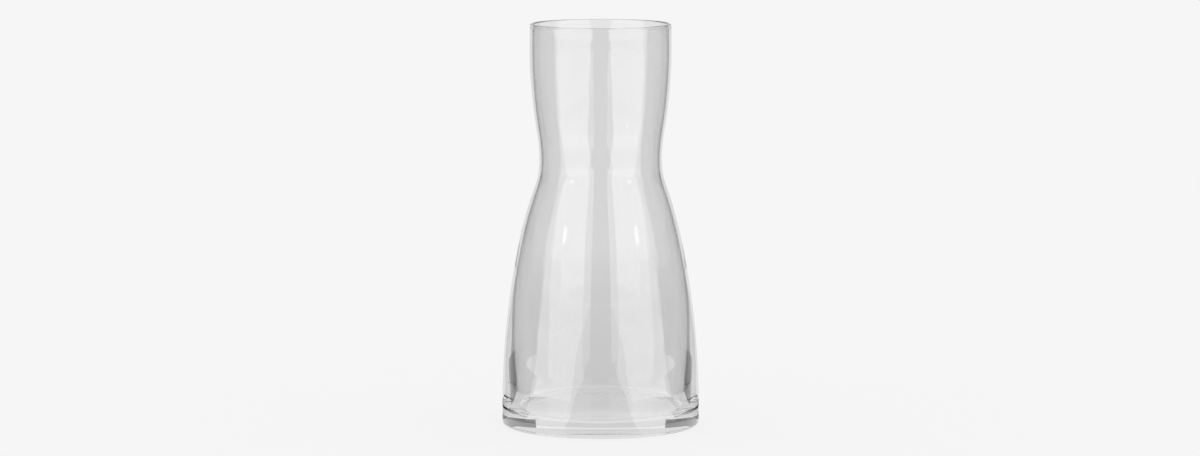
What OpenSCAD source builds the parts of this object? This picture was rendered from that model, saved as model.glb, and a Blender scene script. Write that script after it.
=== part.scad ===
// Water carafe blown from one gob of clear glass.
// The wall is a thin shell of revolution: upright foot, full belly, pinched waist, near-straight neck and
// rounded lip. Both faces are chains of arcs that meet tangent to each other, and they run parallel from the
// lip to the shoulder. Below it the inside turns upright sooner, so the glass thickens to the heavy foot.
// Origin at the centre of the standing ring, +Z up, millimetres.

/* [Outside] */
// Height from the table to the top of the lip
height = 214; // [190:0.5:250]
// Diameter of the upright foot
base_d = 105; // [96:0.5:120]
// Diameter at the waist, where a hand grips it
waist_d = 65; // [52:0.5:80]
// Height of the waist above the table, as a share of the full height
waist_share = 0.66; // [0.58:0.002:0.74]
// How far the fullest part of the neck stands out past the waist, on each side
neck_swell = 5.1; // [1.5:0.1:12]
// Depth of the neck's fullest part below the top of the lip
neck_drop = 11.5; // [6:0.5:25]

/* [Curves] */
// Radius of the rounded edge under the foot
heel_r = 1.6; // [0.6:0.1:3]
// Height at which the belly turns upright into the foot
foot_h = 9; // [5:0.5:20]
// Radius of the waist curve on its lower side
waist_low_r = 40; // [25:1:70]
// Radius of the waist curve on its upper side
waist_up_r = 88; // [50:1:140]
// Steepest slope of the shoulder, as a multiple of the mean slope from waist to foot
shoulder_steep = 2.33; // [2.1:0.01:2.6]
// Slope at which shoulder passes into belly, as a share of the steepest slope
belly_share = 0.6; // [0.45:0.01:0.7]

/* [Glass] */
// Thickness of the wall from the lip to the shoulder
wall = 1.8; // [1.2:0.1:3]
// Thickness between the foot's outer face and the widest part of the inside
foot_wall = 5.6; // [4:0.1:8]
// Height of the inside floor above the table
floor_z = 7; // [5:0.5:14]
// Radius of the inside corner between floor and wall
floor_r = 4.5; // [2:0.5:12]
// Radius of the slow inward curve of the inside, from its widest part to the floor's corner
inside_r = 270; // [150:10:900]

/* [Lip] */
// How far the melted, rounded lip stands in from the neck's inner face
lip_bead = 0.2; // [0.1:0.1:2]
// Radius of the hollow that blends the lip into the inside of the neck
lip_blend_r = 6; // [1.5:0.5:10]

/* [Underside] */
// Width of the flat ring that it stands on
ring_w = 9; // [4:0.5:15]
// Depth of the shallow push-up inside the ring
push_up = 0.7; // [0.3:0.1:3]

/* [Hidden] */
$fn = 128;
arc_steps = 10;
least_step = 0.001;
clear_glass = [0.86, 0.88, 0.88, 0.35];

// Points of an arc about centre c with radius r, from angle a0 to angle a1
function arc(c, r, a0, a1) =
    [for (i = [0:arc_steps]) let (a = a0 + (a1 - a0) * i / arc_steps) c + r * [cos(a), sin(a)]];

// The same points without those that repeat the one before
function distinct(points) =
    [for (i = [0:len(points) - 1]) if (i == 0 || norm(points[i] - points[i - 1]) > least_step) points[i]];

// Direction from one point to another, in degrees from 0 to 360
function bearing(from, to) = let (a = atan2(to.y - from.y, to.x - from.x)) a < 0 ? a + 360 : a;

// Centre, at height z, of a small circle that touches a big one from the inside
function nested_centre(c, big_r, small_r, z) =
    [c.x + sqrt(pow(big_r - small_r, 2) - pow(z - c.y, 2)), z];

// Lower point at which two circles cross
function lower_crossing(c1, r1, c2, r2) =
    let (
        d = norm(c2 - c1),
        along = (d * d + r1 * r1 - r2 * r2) / (2 * d),
        across = sqrt(r1 * r1 - along * along),
        u = (c2 - c1) / d
    )
    c1 + along * u + across * [u.y, -u.x];

// Waist to foot: a hollow waist arc, then the shoulder arc and the flatter belly arc, which share out
// what is left of the step in radius and height
waist_z = waist_share * height;
drop_r = (base_d - waist_d) / 2;
drop_z = waist_z - foot_h;
steep_a = shoulder_steep * atan(drop_r / drop_z);
belly_a = belly_share * steep_a;
left_r = drop_r - waist_low_r * (1 - cos(steep_a));
left_z = drop_z - waist_low_r * sin(steep_a);
shoulder_dr = cos(belly_a) - cos(steep_a);
shoulder_dz = sin(steep_a) - sin(belly_a);
belly_dr = 1 - cos(belly_a);
belly_dz = sin(belly_a);
share_det = shoulder_dr * belly_dz - belly_dr * shoulder_dz;
shoulder_r = (left_r * belly_dz - left_z * belly_dr) / share_det;
belly_r = (left_z * shoulder_dr - left_r * shoulder_dz) / share_det;

// Waist to neck: two arcs, both upright at their ends
neck_z = height - neck_drop;
rise_z = neck_z - waist_z;
neck_a = 2 * atan(neck_swell / rise_z);
neck_r = (neck_swell * neck_swell + rise_z * rise_z) / (2 * neck_swell) - waist_up_r;

// Centres of the outside's arcs
heel_c = [base_d / 2 - heel_r, heel_r];
belly_c = [base_d / 2 - belly_r, foot_h];
shoulder_c = belly_c + (belly_r - shoulder_r) * [cos(belly_a), sin(belly_a)];
waist_low_c = [waist_d / 2 + waist_low_r, waist_z];
waist_up_c = [waist_d / 2 + waist_up_r, waist_z];
neck_c = [waist_d / 2 + neck_swell - neck_r, neck_z];

// Lip: a bead that touches the neck's outer face, blended into its inner face
lip_r = (wall + lip_bead) / 2;
lip_c = nested_centre(neck_c, neck_r, lip_r, height - lip_r);
lip_a = bearing(neck_c, lip_c);
lip_blend_c = lower_crossing(neck_c, neck_r - wall - lip_blend_r, lip_c, lip_r + lip_blend_r);
lip_blend_a = bearing(neck_c, lip_blend_c);

// Inside below the shoulder: its own belly arc, upright where the inside is widest, then a slow turn inwards
inside_max = base_d / 2 - foot_wall;
inside_turn = shoulder_c + (shoulder_r - wall) * [cos(belly_a), sin(belly_a)];
inside_belly_r = (inside_max - inside_turn.x) / belly_dr;
inside_max_z = inside_turn.y - inside_belly_r * belly_dz;
inside_belly_c = [inside_max - inside_belly_r, inside_max_z];
inside_c = [inside_max - inside_r, inside_max_z];
floor_c = nested_centre(inside_c, inside_r, floor_r, floor_z + floor_r);
floor_a = asin((floor_c.y - inside_max_z) / (inside_r - floor_r));

// Underside: a shallow dome between the middle and the flat standing ring
push_rim = base_d / 2 - heel_r - ring_w;
push_r = (push_rim * push_rim + push_up * push_up) / (2 * push_up);
push_c = [0, push_up - push_r];

// Outer face, from the middle of the underside up to the lip
outside = concat(
    arc(push_c, push_r, 90, bearing(push_c, [push_rim, 0])),
    arc(heel_c, heel_r, -90, 0),
    arc(belly_c, belly_r, 0, belly_a),
    arc(shoulder_c, shoulder_r, belly_a, steep_a),
    arc(waist_low_c, waist_low_r, 180 + steep_a, 180),
    arc(waist_up_c, waist_up_r, 180, 180 - neck_a),
    arc(neck_c, neck_r, -neck_a, lip_a)
);

// Rounded lip, over the top and into the neck
lip = concat(
    arc(lip_c, lip_r, lip_a, 90),
    arc(lip_c, lip_r, 90, bearing(lip_c, lip_blend_c)),
    arc(lip_blend_c, lip_blend_r, bearing(lip_blend_c, lip_c), lip_blend_a)
);

// Inner face, from under the lip down to the middle of the floor
inside = concat(
    arc(neck_c, neck_r - wall, lip_blend_a, -neck_a),
    arc(waist_up_c, waist_up_r + wall, 180 - neck_a, 180),
    arc(waist_low_c, waist_low_r + wall, 180, 180 + steep_a),
    arc(shoulder_c, shoulder_r - wall, steep_a, belly_a),
    arc(inside_belly_c, inside_belly_r, belly_a, 0),
    arc(inside_c, inside_r, 0, floor_a),
    arc(floor_c, floor_r, floor_a, -90),
    [[0, floor_z]]
);

// The one piece of glass
module glass_body() {
    color(clear_glass)
        rotate_extrude()
            polygon(distinct(concat(outside, lip, inside)));
}

glass_body();
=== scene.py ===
from math import asin, atan, atan2, ceil, cos, hypot, pi, radians, sin, sqrt, tan

import bpy
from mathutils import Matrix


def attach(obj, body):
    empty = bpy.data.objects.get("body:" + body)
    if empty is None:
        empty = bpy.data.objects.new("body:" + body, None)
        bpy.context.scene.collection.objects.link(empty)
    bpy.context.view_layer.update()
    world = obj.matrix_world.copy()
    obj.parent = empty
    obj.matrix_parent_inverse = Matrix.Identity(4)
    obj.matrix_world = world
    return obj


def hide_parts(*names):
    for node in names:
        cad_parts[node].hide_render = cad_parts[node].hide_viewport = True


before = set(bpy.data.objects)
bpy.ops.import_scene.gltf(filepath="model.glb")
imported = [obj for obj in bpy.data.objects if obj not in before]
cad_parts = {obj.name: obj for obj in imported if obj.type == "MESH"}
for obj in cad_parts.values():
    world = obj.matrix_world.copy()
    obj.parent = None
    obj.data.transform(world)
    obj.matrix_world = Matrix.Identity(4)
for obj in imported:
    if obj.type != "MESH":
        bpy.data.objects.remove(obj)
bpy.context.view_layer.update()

# Glass body: the whole carafe, one gob of soda-lime glass blown in a turning mould, with the neck cut off and
# its edge melted round in a flame. The mould left the outer face smooth; the inner face was shaped by air
# alone, so it ripples a little, and the glass is thickest in the foot, where the gob settled.
MM = 0.001
height = 214 * MM
base_d = 105 * MM
waist_d = 65 * MM
waist_share = 0.66
neck_swell = 5.1 * MM
neck_drop = 11.5 * MM
heel_r = 1.6 * MM
foot_h = 9 * MM
waist_low_r = 40 * MM
waist_up_r = 88 * MM
shoulder_steep = 2.33
belly_share = 0.6
wall = 1.8 * MM
foot_wall = 5.6 * MM
floor_z = 7 * MM
floor_r = 4.5 * MM
inside_r = 270 * MM
lip_bead = 0.2 * MM
lip_blend_r = 6 * MM
ring_w = 9 * MM
push_up = 0.7 * MM
sides = 224
row_spacing = 1.5 * MM
row_turn = radians(8)
ring_rows = 4
foot_rows = 6
floor_rows = 12
seam_gap = 0.001 * MM
ripple_height = 0.2 * MM
ripple_length = 40 * MM
ripple_start = 30 * MM


def arc(centre, radius, start, end):
    """Points on an arc in the plane of radius and height, close enough together to look smooth."""
    turn = end - start
    steps = max(2, ceil(abs(turn) * radius / row_spacing), ceil(abs(turn) / row_turn))
    angles = [start + turn * i / steps for i in range(steps + 1)]
    return [(centre[0] + radius * cos(a), centre[1] + radius * sin(a)) for a in angles]


def line(start, end, steps):
    """Points on a straight run of the profile, without its two ends."""
    shares = [i / steps for i in range(1, steps)]
    return [(start[0] + (end[0] - start[0]) * s, start[1] + (end[1] - start[1]) * s) for s in shares]


def bearing(here, there):
    """Direction from one point to another."""
    return atan2(there[1] - here[1], there[0] - here[0])


def nested_centre(centre, big_r, small_r, z):
    """Centre, at height z, of a small circle that touches a big one from the inside."""
    return centre[0] + sqrt((big_r - small_r) ** 2 - (z - centre[1]) ** 2), z


# Outside, from the waist down and from the waist up
waist_z = waist_share * height
drop_r = (base_d - waist_d) / 2
drop_z = waist_z - foot_h
steep_a = shoulder_steep * atan(drop_r / drop_z)
belly_a = belly_share * steep_a
left_r = drop_r - waist_low_r * (1 - cos(steep_a))
left_z = drop_z - waist_low_r * sin(steep_a)
shoulder_dr = cos(belly_a) - cos(steep_a)
shoulder_dz = sin(steep_a) - sin(belly_a)
belly_dr = 1 - cos(belly_a)
belly_dz = sin(belly_a)
share_det = shoulder_dr * belly_dz - belly_dr * shoulder_dz
shoulder_r = (left_r * belly_dz - left_z * belly_dr) / share_det
belly_r = (left_z * shoulder_dr - left_r * shoulder_dz) / share_det
neck_z = height - neck_drop
rise_z = neck_z - waist_z
neck_a = 2 * atan(neck_swell / rise_z)
neck_r = (neck_swell ** 2 + rise_z ** 2) / (2 * neck_swell) - waist_up_r
heel_c = (base_d / 2 - heel_r, heel_r)
belly_c = (base_d / 2 - belly_r, foot_h)
shoulder_c = (
    belly_c[0] + (belly_r - shoulder_r) * cos(belly_a),
    belly_c[1] + (belly_r - shoulder_r) * sin(belly_a),
)
waist_low_c = (waist_d / 2 + waist_low_r, waist_z)
waist_up_c = (waist_d / 2 + waist_up_r, waist_z)
neck_c = (waist_d / 2 + neck_swell - neck_r, neck_z)

# Lip: a bead that touches the neck's outer face, blended into its inner face
lip_r = (wall + lip_bead) / 2
lip_c = nested_centre(neck_c, neck_r, lip_r, height - lip_r)
blend_reach = neck_r - wall - lip_blend_r
lip_reach = lip_r + lip_blend_r
lip_gap = hypot(lip_c[0] - neck_c[0], lip_c[1] - neck_c[1])
along = (lip_gap ** 2 + blend_reach ** 2 - lip_reach ** 2) / (2 * lip_gap)
across = sqrt(blend_reach ** 2 - along ** 2)
lip_a = bearing(neck_c, lip_c)
lip_blend_c = (
    neck_c[0] + along * cos(lip_a) + across * sin(lip_a),
    neck_c[1] + along * sin(lip_a) - across * cos(lip_a),
)
lip_blend_a = bearing(neck_c, lip_blend_c)

# Inside below the shoulder, and the underside
inside_max = base_d / 2 - foot_wall
inside_turn = (
    shoulder_c[0] + (shoulder_r - wall) * cos(belly_a),
    shoulder_c[1] + (shoulder_r - wall) * sin(belly_a),
)
inside_belly_r = (inside_max - inside_turn[0]) / belly_dr
inside_max_z = inside_turn[1] - inside_belly_r * belly_dz
inside_belly_c = (inside_max - inside_belly_r, inside_max_z)
inside_c = (inside_max - inside_r, inside_max_z)
floor_c = nested_centre(inside_c, inside_r, floor_r, floor_z + floor_r)
floor_a = asin((floor_c[1] - inside_max_z) / (inside_r - floor_r))
push_rim = base_d / 2 - heel_r - ring_w
push_r = (push_rim ** 2 + push_up ** 2) / (2 * push_up)
push_c = (0, push_up - push_r)

outside = (
    arc(push_c, push_r, pi / 2, bearing(push_c, (push_rim, 0)))
    + line((push_rim, 0), (heel_c[0], 0), ring_rows)
    + arc(heel_c, heel_r, -pi / 2, 0)
    + line((base_d / 2, heel_r), (base_d / 2, foot_h), foot_rows)
    + arc(belly_c, belly_r, 0, belly_a)
    + arc(shoulder_c, shoulder_r, belly_a, steep_a)
    + arc(waist_low_c, waist_low_r, pi + steep_a, pi)
    + arc(waist_up_c, waist_up_r, pi, pi - neck_a)
    + arc(neck_c, neck_r, -neck_a, lip_a)
    + arc(lip_c, lip_r, lip_a, pi / 2)
)
inside = (
    arc(lip_c, lip_r, pi / 2, bearing(lip_c, lip_blend_c) + 2 * pi)
    + arc(lip_blend_c, lip_blend_r, bearing(lip_blend_c, lip_c), lip_blend_a)
    + arc(neck_c, neck_r - wall, lip_blend_a, -neck_a)
    + arc(waist_up_c, waist_up_r + wall, pi - neck_a, pi)
    + arc(waist_low_c, waist_low_r + wall, pi, pi + steep_a)
    + arc(shoulder_c, shoulder_r - wall, steep_a, belly_a)
    + arc(inside_belly_c, inside_belly_r, belly_a, 0)
    + arc(inside_c, inside_r, 0, floor_a)
    + arc(floor_c, floor_r, floor_a, -pi / 2)
    + line((floor_c[0], floor_z), (0, floor_z), floor_rows)
    + [(0, floor_z)]
)
profile = []
for r, z in outside + inside:
    if not profile or hypot(r - profile[-1][0], z - profile[-1][1]) > seam_gap:
        profile.append((r, z))


def add_node(tree, kind, inputs=None, **settings):
    """Adds one node with its settings, and links or sets its inputs."""
    node = tree.nodes.new(kind)
    for key, value in settings.items():
        setattr(node, key, value)
    for key, value in (inputs or {}).items():
        if isinstance(value, bpy.types.NodeSocket):
            tree.links.new(value, node.inputs[key])
        else:
            node.inputs[key].default_value = value
    return node


def linear(code):
    """Linear colour, with alpha 1, of an sRGB hex code."""
    parts = [int(code[i:i + 2], 16) / 255 for i in (0, 2, 4)]
    return [p / 12.92 if p <= 0.04045 else ((p + 0.055) / 1.055) ** 2.4 for p in parts] + [1]


# Clear soda-lime glass, mould-blown: colourless apart from a faint grey in the wall, mirror-smooth, with slow
# waves from the mould's turning that bend the reflections slightly
wave_length = 22 * MM
wave_height = 0.03 * MM
glass = bpy.data.materials.new("mould_blown_soda_lime_glass")
glass.use_nodes = True
glass_tree = glass.node_tree
glass_tree.nodes.clear()
glass_place = add_node(glass_tree, "ShaderNodeTexCoord")
waves = add_node(
    glass_tree, "ShaderNodeTexNoise",
    {"Vector": glass_place.outputs["Object"], "Scale": 1 / wave_length, "Detail": 1.0, "Roughness": 0.4},
)
bump = add_node(
    glass_tree, "ShaderNodeBump",
    {"Height": waves.outputs["Fac"], "Strength": 1.0, "Distance": wave_height},
)
shader = add_node(
    glass_tree, "ShaderNodeBsdfPrincipled",
    {
        "Base Color": linear("F4F4F4"),
        "Roughness": 0.0,
        "IOR": 1.52,
        "Transmission Weight": 1.0,
        "Normal": bump.outputs["Normal"],
    },
)
add_node(glass_tree, "ShaderNodeOutputMaterial", {"Surface": shader.outputs["BSDF"]})

# The lathe turns the profile round the axis, closes the seam and the two poles, and ripples the inner face
lathe = bpy.data.node_groups.new("turned_glass", "GeometryNodeTree")
lathe.is_modifier = True
lathe.interface.new_socket("Profile", in_out="INPUT", socket_type="NodeSocketGeometry")
lathe_inputs = {
    label: lathe.interface.new_socket(label, in_out="INPUT", socket_type=kind).identifier
    for label, kind in (
        ("Sides", "NodeSocketInt"),
        ("Ripple Height", "NodeSocketFloat"),
        ("Ripple Length", "NodeSocketFloat"),
        ("Seam Gap", "NodeSocketFloat"),
        ("Glass", "NodeSocketMaterial"),
    )
}
lathe.interface.new_socket("Body", in_out="OUTPUT", socket_type="NodeSocketGeometry")
given = add_node(lathe, "NodeGroupInput").outputs
index = add_node(lathe, "GeometryNodeInputIndex").outputs[0]
position = add_node(lathe, "GeometryNodeInputPosition").outputs[0]
rows = add_node(lathe, "GeometryNodeAttributeDomainSize", {"Geometry": given["Profile"]}, component="MESH")
columns = add_node(lathe, "ShaderNodeMath", {0: given["Sides"], 1: 1.0}, operation="ADD")
grid = add_node(
    lathe, "GeometryNodeMeshGrid",
    {"Vertices X": rows.outputs["Point Count"], "Vertices Y": columns.outputs[0]},
)
row_share = add_node(lathe, "ShaderNodeMath", {0: index, 1: columns.outputs[0]}, operation="DIVIDE")
row = add_node(lathe, "ShaderNodeMath", {0: row_share.outputs[0]}, operation="FLOOR")
column = add_node(lathe, "ShaderNodeMath", {0: index, 1: columns.outputs[0]}, operation="MODULO")
step = add_node(lathe, "ShaderNodeMath", {0: 2 * pi, 1: given["Sides"]}, operation="DIVIDE")
angle = add_node(lathe, "ShaderNodeMath", {0: column.outputs[0], 1: step.outputs[0]}, operation="MULTIPLY")
point = add_node(
    lathe, "GeometryNodeSampleIndex",
    {"Geometry": given["Profile"], "Value": position, "Index": row.outputs[0]},
    data_type="FLOAT_VECTOR",
)
inner_mark = add_node(lathe, "GeometryNodeInputNamedAttribute", {"Name": "inner_face"}, data_type="FLOAT")
inner = add_node(
    lathe, "GeometryNodeSampleIndex",
    {"Geometry": given["Profile"], "Value": inner_mark.outputs["Attribute"], "Index": row.outputs[0]},
    data_type="FLOAT",
)
turned = add_node(
    lathe, "ShaderNodeVectorRotate",
    {"Vector": point.outputs[0], "Angle": angle.outputs[0]},
    rotation_type="Z_AXIS",
)
marked = add_node(
    lathe, "GeometryNodeStoreNamedAttribute",
    {"Geometry": grid.outputs["Mesh"], "Name": "inner_face", "Value": inner.outputs[0]},
    data_type="FLOAT", domain="POINT",
)
placed = add_node(
    lathe, "GeometryNodeSetPosition", {"Geometry": marked.outputs[0], "Position": turned.outputs[0]}
)
closed = add_node(
    lathe, "GeometryNodeMergeByDistance", {"Geometry": placed.outputs[0], "Distance": given["Seam Gap"]}
)
outward = add_node(lathe, "GeometryNodeFlipFaces", {"Mesh": closed.outputs[0]})
ripple_scale = add_node(lathe, "ShaderNodeMath", {0: 1.0, 1: given["Ripple Length"]}, operation="DIVIDE")
ripple = add_node(
    lathe, "ShaderNodeTexNoise",
    {"Vector": position, "Scale": ripple_scale.outputs[0], "Detail": 0.0},
)
rise = add_node(lathe, "ShaderNodeMath", {0: ripple.outputs["Fac"], 1: 0.5}, operation="SUBTRACT")
on_inner = add_node(
    lathe, "ShaderNodeMath",
    {0: rise.outputs[0], 1: inner_mark.outputs["Attribute"]},
    operation="MULTIPLY",
)
amount = add_node(
    lathe, "ShaderNodeMath", {0: on_inner.outputs[0], 1: given["Ripple Height"]}, operation="MULTIPLY"
)
normal = add_node(lathe, "GeometryNodeInputNormal").outputs[0]
offset = add_node(lathe, "ShaderNodeVectorMath", {0: normal, "Scale": amount.outputs[0]}, operation="SCALE")
rippled = add_node(
    lathe, "GeometryNodeSetPosition", {"Geometry": outward.outputs[0], "Offset": offset.outputs[0]}
)
smooth = add_node(lathe, "GeometryNodeSetShadeSmooth", {"Geometry": rippled.outputs[0]})
whole = add_node(lathe, "GeometryNodeRealizeInstances", {"Geometry": smooth.outputs[0]})
finished = add_node(
    lathe, "GeometryNodeSetMaterial", {"Geometry": whole.outputs[0], "Material": given["Glass"]}
)
add_node(lathe, "NodeGroupOutput", {"Body": finished.outputs[0]})

# The ripple starts at the lip's top and at the floor, and is full a little way from both
profile_mesh = bpy.data.meshes.new("glass_profile")
profile_mesh.from_pydata(
    [(r, 0, z) for r, z in profile], [(i, i + 1) for i in range(len(profile) - 1)], []
)
lip_top = max(range(len(profile)), key=lambda i: profile[i][1])
inner_face = profile_mesh.attributes.new("inner_face", "FLOAT", "POINT")
for i, (r, z) in enumerate(profile):
    below_lip = min(1, (height - z) / ripple_start)
    above_floor = min(1, (z - floor_z) / ripple_start)
    inner_face.data[i].value = max(0, below_lip * above_floor) if i > lip_top else 0
carafe = bpy.data.objects.new("carafe_glass", profile_mesh)
bpy.context.scene.collection.objects.link(carafe)
turning = carafe.modifiers.new("turning", "NODES")
turning.node_group = lathe
turning[lathe_inputs["Sides"]] = sides
turning[lathe_inputs["Ripple Height"]] = ripple_height
turning[lathe_inputs["Ripple Length"]] = ripple_length
turning[lathe_inputs["Seam Gap"]] = seam_gap
turning[lathe_inputs["Glass"]] = glass
evaluated = carafe.evaluated_get(bpy.context.evaluated_depsgraph_get())
carafe_mesh = bpy.data.meshes.new_from_object(evaluated)
carafe.modifiers.remove(turning)
carafe.data = carafe_mesh
carafe_mesh.name = "carafe_glass"
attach(carafe, "root")
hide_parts("glass_body")

# Table: one wide sheet of matt paper in the pale background tone, a hair under the foot. Most of the
# tone is its own, so that the glass shows it too, and the rest is lit and keeps the shadow. Seen through the
# glass, the paper round the foot carries a painted shadow of the glass, back to its tone at shade_reach.
table_half = 8.0
foot_gap = 0.05 * MM
own_share = 0.88
shade_level = 0.82
shade_from = 0.0595
shade_to = 0.175
shade_reach = 0.7
pale = linear("F6F6F6")
paper = bpy.data.materials.new("matt_pale_paper")
paper.use_nodes = True
paper_tree = paper.node_tree
paper_tree.nodes.clear()
paper_path = add_node(paper_tree, "ShaderNodeLightPath").outputs
paper_place = add_node(paper_tree, "ShaderNodeTexCoord")
axis_gap = add_node(
    paper_tree, "ShaderNodeVectorMath", {0: paper_place.outputs["Object"]}, operation="LENGTH"
)
span = add_node(
    paper_tree, "ShaderNodeMapRange",
    {"Value": axis_gap.outputs["Value"], "From Min": 0.0, "From Max": shade_reach},
)
# Painted shadow: seen through the glass, the paper is darker, at shade_level from shade_from to shade_to, but
# not under the foot
painted_shadow = add_node(paper_tree, "ShaderNodeValToRGB", {"Fac": span.outputs["Result"]})
stops = painted_shadow.color_ramp.elements
stops[0].position = base_d / 2 / shade_reach
stops[0].color = (1, 1, 1, 1)
stops[1].position = 1
stops[1].color = (1, 1, 1, 1)
for radius in (shade_from, shade_to):
    stops.new(radius / shade_reach).color = (shade_level, shade_level, shade_level, 1)
level = add_node(
    paper_tree, "ShaderNodeMix",
    {"Factor": paper_path["Is Transmission Ray"], "A": 1.0, "B": painted_shadow.outputs["Color"]},
)
shown = add_node(
    paper_tree, "ShaderNodeMath", {0: 1.0, 1: paper_path["Is Diffuse Ray"]}, operation="SUBTRACT"
)
own = add_node(paper_tree, "ShaderNodeMath", {0: shown.outputs[0], 1: own_share}, operation="MULTIPLY")
lit = add_node(paper_tree, "ShaderNodeBsdfDiffuse", {"Color": pale})
tone = add_node(paper_tree, "ShaderNodeEmission", {"Color": pale, "Strength": level.outputs["Result"]})
surface = add_node(
    paper_tree, "ShaderNodeMixShader", {0: own.outputs[0], 1: lit.outputs[0], 2: tone.outputs[0]}
)
add_node(paper_tree, "ShaderNodeOutputMaterial", {"Surface": surface.outputs[0]})
table_mesh = bpy.data.meshes.new("paper_table")
table_corners = [(-1, -1), (1, -1), (1, 1), (-1, 1)]
table_mesh.from_pydata(
    [(x * table_half, y * table_half, -foot_gap) for x, y in table_corners], [], [(0, 1, 2, 3)]
)
table_mesh.materials.append(paper)
table = bpy.data.objects.new("paper_table", table_mesh)
bpy.context.scene.collection.objects.link(table)

# Room: an even white studio that lights the paper. It has the paper's own tone where it is seen directly or
# through the glass, and is darker where it is mirrored, so that the cards stand out in the reflections.
mirrored_sky = 0.4
room = bpy.data.worlds.new("white_studio")
bpy.context.scene.world = room
room.use_nodes = True
room_tree = room.node_tree
room_tree.nodes.clear()
room_path = add_node(room_tree, "ShaderNodeLightPath").outputs
in_mirror = add_node(
    room_tree, "ShaderNodeMath", {0: room_path["Glossy Depth"], 1: 0.5}, operation="GREATER_THAN"
)
seen = add_node(room_tree, "ShaderNodeBackground", {"Color": pale, "Strength": 1.0})
lighting = add_node(room_tree, "ShaderNodeBackground", {"Color": linear("FFFFFF"), "Strength": 1.0})
dimmed = add_node(room_tree, "ShaderNodeBackground", {"Color": linear("FFFFFF"), "Strength": mirrored_sky})
direct = add_node(
    room_tree, "ShaderNodeMixShader",
    {0: room_path["Is Diffuse Ray"], 1: seen.outputs[0], 2: lighting.outputs[0]},
)
sky = add_node(
    room_tree, "ShaderNodeMixShader", {0: in_mirror.outputs[0], 1: direct.outputs[0], 2: dimmed.outputs[0]}
)
add_node(room_tree, "ShaderNodeOutputWorld", {"Surface": sky.outputs[0]})

# Cards: painted reflections, glowing sheets that light nothing, lie on the table round the glass and stand
# along its far edge. White ones paint the two broad bands of light, a grey cloth and hood at the lens the
# darker middle, and grey ones at the sides the dark edges. Only mirrored rays meet them, so what is seen
# straight through the glass stays pale.
card_lift = 0.2 * MM
far = 5.2
hood_y = -5.0
fade_from = 0.1
fade_to = 0.8


def other_side(outline):
    """The same outline to the left of the glass instead of the right."""
    return [(-x, *rest) for x, *rest in outline]


def at(azimuth, reach):
    """Point on the table, by its angle round from the lens to the right and its distance from the axis."""
    return reach * sin(radians(azimuth)), -reach * cos(radians(azimuth))


def lying(outline, layer=1):
    """A sheet on the table, or on the second layer over another sheet."""
    return [[(x, y, layer * card_lift) for x, y in outline]]


def standing(edge, low, high):
    """Sheets along an edge, between two angles above the table as seen from the glass."""
    bottom = tan(radians(low)) * far
    top = tan(radians(high)) * far
    return [[(*a, bottom), (*b, bottom), (*b, top), (*a, top)] for a, b in zip(edge, edge[1:])]


cloth_half = [(0.034, -0.06), (0.085, -0.16), (0.125, -0.25), (0.165, -0.4), (0.21, -0.6)]
cloth_half += [(0.28, -0.8), (0.375, -1.2), (0.52, -1.75), (0.95, -3.2), (1.5, hood_y)]
cloth = other_side(cloth_half)[::-1] + cloth_half
hood_half = [(1.5, 0.0), (3.0, 0.02), (3.0, 0.06), (2.75, 0.38)]
hood_half += [(2.4, 0.45), (2.4, 1.44), (1.95, 2.6), (1.7, 5.0)]
hood = [(x, hood_y, z) for x, z in hood_half + other_side(hood_half)[::-1]]
white_edge = [at(72, 0.085), at(72, 0.118), at(88, 0.13), at(93, 0.14), at(90, 0.162), at(79, 0.18)]
white_edge += [at(81.5, 0.3), at(80.5, 0.45), at(80.5, far)]
grey_edge = [at(115, 0.056), at(112, 0.12), at(112, 0.3), at(110, far)]
back_edge = [at(125, 0.09), at(135, 0.18), at(150, 0.4), at(150, far)]
white_far = [at(60, far), at(40, far), at(20, far), at(0, far)]
grey_far = [at(95, far), at(110, far)]
pale_grey_far = [at(110, far), at(130, far), at(150, far)]
back_far = [at(150, far), at(180, far), at(-150, far)]
white = [at(5, 0.085), at(40, 0.085), at(60, 0.085)] + white_edge + white_far
grey = grey_edge[::-1] + [at(98, 0.056), at(98, 0.078)] + white_edge
# Streak: a darker sheet over the grey card, painting a dark streak into the reflections
streak = [at(103, 0.078), at(103, 0.12), at(112, 0.17), at(125, 0.15)]
streak += [at(140, 0.11), at(140, 0.085), at(120, 0.08)]
pale_grey = back_edge[::-1] + grey_edge
back = other_side(back_edge[::-1] + grey_edge[:1]) + grey_edge[:1] + back_edge
low_edge = [at(82, far)]
high_edge = [at(86, far)]

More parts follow.
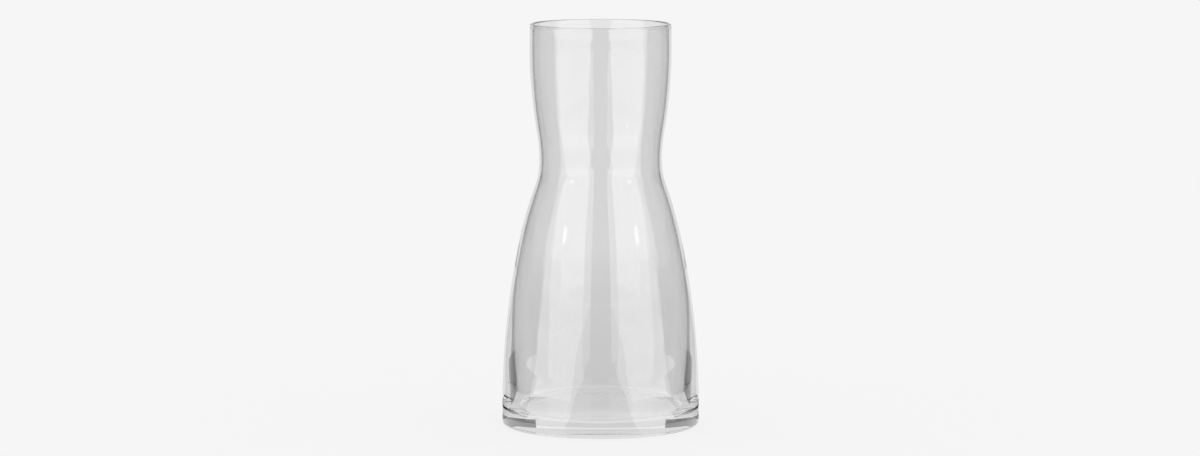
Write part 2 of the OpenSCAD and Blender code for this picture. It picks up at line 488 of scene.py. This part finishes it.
# Name, sheets, colour, and strength near the glass and further off
reflection_cards = [
    ("lens_cloth", lying(cloth, 2) + [hood], "808080", 1.0, 1.0),
    ("back_card", lying(back), "E2E2E2", 1.0, 1.0),
    ("back_strip", standing(back_far, 0, 10), "DEDEDE", 1.0, 1.0),
    ("back_wall", standing(back_far, 10, 30), "F6F6F6", 1.0, 1.0),
]
for name, sheets, colour, near_strength, far_strength in (
    ("white_card", lying(white), "FFFFFF", 2.04, 1.36),
    ("white_strip", standing(low_edge + white_far, 0, 9), "FFFFFF", 1.65, 1.65),
    ("white_wall", standing(high_edge + white_far, 9, 60), "FFFFFF", 1.25, 1.25),
    ("grey_card", lying(grey), "7C7C7C", 1.0, 1.0),
    ("streak_card", lying(streak, 2), "484848", 1.0, 1.0),
    ("grey_strip", standing(low_edge + grey_far, 0, 9), "767676", 1.0, 1.0),
    ("grey_wall", standing(high_edge + grey_far, 9, 22), "767676", 1.0, 1.0),
    ("pale_grey_card", lying(pale_grey), "929292", 1.0, 1.0),
    ("dark_strip", standing(pale_grey_far, 0, 9), "6A6A6A", 1.0, 1.0),
    ("pale_grey_wall", standing(pale_grey_far, 9, 22), "929292", 1.0, 1.0),
):
    left_sheets = [other_side(sheet) for sheet in sheets]
    reflection_cards.append(("right_" + name, sheets, colour, near_strength, far_strength))
    reflection_cards.append(("left_" + name, left_sheets, colour, near_strength, far_strength))
for name, sheets, colour, near_strength, far_strength in reflection_cards:
    board = bpy.data.materials.new(name)
    board.use_nodes = True
    board_tree = board.node_tree
    board_tree.nodes.clear()
    board_path = add_node(board_tree, "ShaderNodeLightPath").outputs
    is_met = add_node(
        board_tree, "ShaderNodeMath", {0: board_path["Glossy Depth"], 1: 0.5}, operation="GREATER_THAN"
    )
    clear = add_node(board_tree, "ShaderNodeBsdfTransparent")
    spot = add_node(board_tree, "ShaderNodeNewGeometry").outputs["Position"]
    off_axis = add_node(board_tree, "ShaderNodeVectorMath", {0: spot}, operation="LENGTH").outputs["Value"]
    # The painted reflections glow at near_strength by the glass and fade to far_strength between fade_from
    # and fade_to
    fade = add_node(
        board_tree, "ShaderNodeMapRange",
        {
            "Value": off_axis,
            "From Min": fade_from,
            "From Max": fade_to,
            "To Min": near_strength,
            "To Max": far_strength,
        },
    )
    face = add_node(
        board_tree, "ShaderNodeEmission", {"Color": linear(colour), "Strength": fade.outputs["Result"]}
    )
    look = add_node(
        board_tree, "ShaderNodeMixShader", {0: is_met.outputs[0], 1: clear.outputs[0], 2: face.outputs[0]}
    )
    add_node(board_tree, "ShaderNodeOutputMaterial", {"Surface": look.outputs[0]})
    corners = []
    faces = []
    for sheet in sheets:
        faces.append(tuple(range(len(corners), len(corners) + len(sheet))))
        corners += sheet
    card_mesh = bpy.data.meshes.new(name)
    card_mesh.from_pydata(corners, [], faces)
    card_mesh.materials.append(board)
    card = bpy.data.objects.new(name, card_mesh)
    bpy.context.scene.collection.objects.link(card)
    card.visible_camera = False
    card.visible_diffuse = False
    card.visible_shadow = False

# Lamps: two small soft boxes in front, one to each side, for the small highlights on waist and shoulder. Only
# the left one casts a shadow.
lamp_distance = 1.0
lamp_azimuth = radians(55)
lamp_elevation = radians(17)
lamp_aim_z = 0.1
lamp_size = 0.1
lamp_out = lamp_distance * cos(lamp_elevation)
for name, side, power, casts in (("left_lamp", -1, 0.046, True), ("right_lamp", 1, 0.042, False)):
    light = bpy.data.lights.new(name, "AREA")
    light.shape = "DISK"
    light.size = lamp_size
    light.energy = power
    light.use_shadow = casts
    lamp = bpy.data.objects.new(name, light)
    bpy.context.scene.collection.objects.link(lamp)
    lamp.location = (
        side * lamp_out * sin(lamp_azimuth),
        -lamp_out * cos(lamp_azimuth),
        lamp_aim_z + lamp_distance * sin(lamp_elevation),
    )
    lamp.rotation_euler = (pi / 2 - lamp_elevation, 0, side * lamp_azimuth)

# Camera: a long lens about two metres away, looking slightly down at the middle of the carafe
photo_width = 1200
focal_px = 3944
camera_distance = 2.1
camera_tilt = radians(6.82)
aim = (-0.33 * MM, 0, 105.0 * MM)
camera_data = bpy.data.cameras.new("camera")
camera_data.sensor_width = 36
camera_data.lens = focal_px * camera_data.sensor_width / photo_width
camera = bpy.data.objects.new("camera", camera_data)
bpy.context.scene.collection.objects.link(camera)
camera.location = (
    aim[0],
    aim[1] - camera_distance * cos(camera_tilt),
    aim[2] + camera_distance * sin(camera_tilt),
)
camera.rotation_euler = (pi / 2 - camera_tilt, 0, 0)
bpy.context.scene.camera = camera

# Picture: plain sRGB, and enough bounces for light that is trapped in the thick foot to find its way out
scene = bpy.context.scene
scene.view_settings.view_transform = "Standard"
scene.cycles.max_bounces = 32
scene.cycles.glossy_bounces = 24
scene.cycles.transmission_bounces = 32
scene.cycles.transparent_max_bounces = 32
